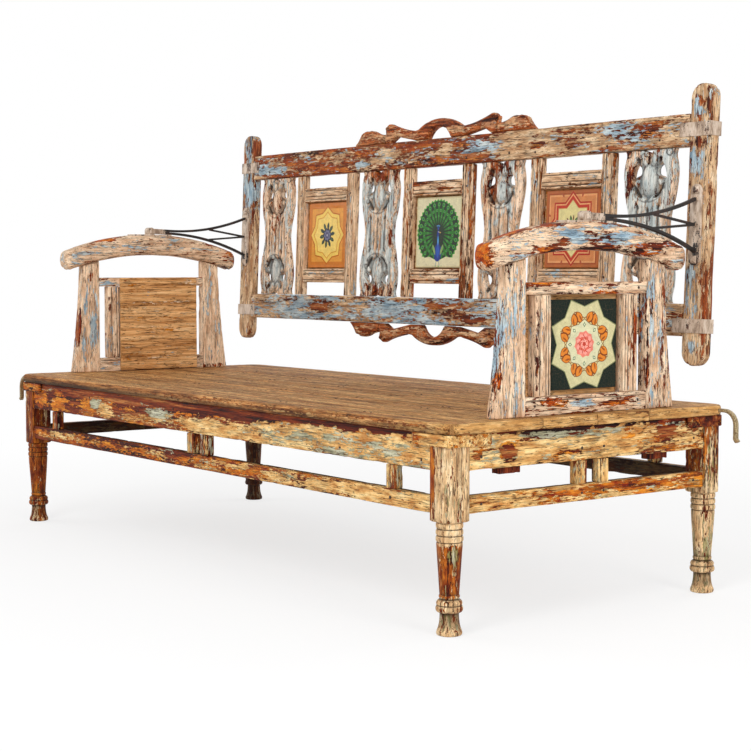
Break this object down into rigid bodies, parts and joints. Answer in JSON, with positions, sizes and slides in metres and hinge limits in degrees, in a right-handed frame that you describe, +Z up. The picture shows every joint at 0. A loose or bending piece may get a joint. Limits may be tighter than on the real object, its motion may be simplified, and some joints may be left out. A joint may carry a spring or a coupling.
{
  "type": "swing-back takht bench",
  "caption": "Long low wooden takht bench on turned legs, with arched arms and a tiled, carved back that swings over on iron forks to face either side.",
  "frame": {"origin": "on the floor under the middle of the seat, which is the middle of the bounding box", "axes": "+X along the bench, +Y towards the long side where the back rests, +Z up"},
  "size_m": [2.21, 0.864, 1.2211],
  "materials": {
    "bare_seat_wood": "bare, worn, open grained",
    "dark_frame_wood": "bare and dark",
    "ochre_paint": "worn ochre and cream paint over red-brown wood",
    "leg_paint": "worn cream and red-brown paint",
    "arm_paint": "worn pink-cream and pale blue paint",
    "back_paint": "worn cream paint over red-brown wood",
    "frame_paint": "worn tan paint",
    "splat_paint": "worn pale blue-grey paint",
    "crest_wood": "bare red-brown wood",
    "glazed_tile": "glazed ceramic",
    "black_iron": "forged, dull",
    "rusty_strap": "worn, painted over"
  },
  "bodies": {
    "bench": {"apron_front": "ochre_paint", "apron_left": "ochre_paint", "apron_rear": "ochre_paint", "apron_right": "ochre_paint", "arm_left_frame_rails": "arm_paint", "arm_left_lug": "black_iron", "arm_left_post_front": "arm_paint", "arm_left_post_rear": "arm_paint", "arm_left_rail": "arm_paint", "arm_left_tile": "glazed_tile", "arm_left_tile_board": "arm_paint", "arm_left_tile_stiles": "arm_paint", "arm_right_frame_rails": "arm_paint", "arm_right_lug": "black_iron", "arm_right_post_front": "arm_paint", "arm_right_post_rear": "arm_paint", "arm_right_rail": "arm_paint", "arm_right_tile": "glazed_tile", "arm_right_tile_board": "arm_paint", "arm_right_tile_stiles": "arm_paint", "corner_mouldings": "ochre_paint", "hook_front_left": "black_iron", "hook_rear_right": "black_iron", "leg_front_left": "leg_paint", "leg_front_right": "leg_paint", "leg_rear_left": "leg_paint", "leg_rear_right": "leg_paint", "pivot_pins": "black_iron", "seat_battens": "dark_frame_wood", "seat_plank_front": "bare_seat_wood", "seat_plank_inner_front": "bare_seat_wood", "seat_plank_inner_rear": "bare_seat_wood", "seat_plank_rear": "bare_seat_wood", "spacer_blocks": "ochre_paint", "stretcher_front": "ochre_paint", "stretcher_left": "ochre_paint", "stretcher_rear": "ochre_paint", "stretcher_right": "ochre_paint"},
    "back": {"back_rail_bottom": "back_paint", "back_rail_top": "back_paint", "back_stile_left": "back_paint", "back_stile_right": "back_paint", "back_tile_boards": "frame_paint", "crest_bottom": "crest_wood", "crest_top": "crest_wood", "fork_bolts": "black_iron", "fork_left": "black_iron", "fork_right": "black_iron", "rail_straps": "rusty_strap", "splat_far_left": "splat_paint", "splat_far_right": "splat_paint", "splat_left": "splat_paint", "splat_right": "splat_paint", "tile_frame_left": "frame_paint", "tile_frame_middle": "frame_paint", "tile_frame_right": "frame_paint", "tile_left": "glazed_tile", "tile_middle": "glazed_tile", "tile_right": "glazed_tile"}
  },
  "joints": [
    {"name": "back_swing", "type": "hinge", "parent": "bench", "child": "back", "pos_m": [0, 0, 0.89936], "axis": [1, 0, 0], "range_deg": [0, 175.34]}
  ]
}
